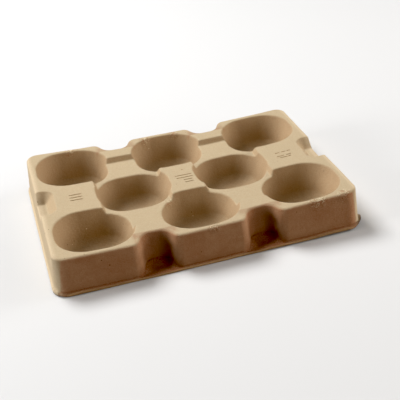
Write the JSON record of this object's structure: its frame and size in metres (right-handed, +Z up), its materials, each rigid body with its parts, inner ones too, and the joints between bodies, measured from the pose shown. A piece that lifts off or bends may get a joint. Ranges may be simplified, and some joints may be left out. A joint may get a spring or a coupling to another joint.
{
  "type": "pulp fruit tray",
  "caption": "Moulded pulp tray with bowl-shaped fruit cups in staggered rows, fluted long walls, a sunk deck between the cups and finger scoops in its ends.",
  "frame": {"origin": "centre of the rectangle the tray stands on, at floor level", "axes": "+X along the length, towards one scooped end; +Y across the rows of cups; +Z up, the way the cups open"},
  "size_m": [0.3698, 0.2638, 0.05],
  "materials": {
    "pulp": "matt, fibrous"
  },
  "bodies": {
    "root": {"pulp_tray": "pulp"}
  },
  "joints": []
}
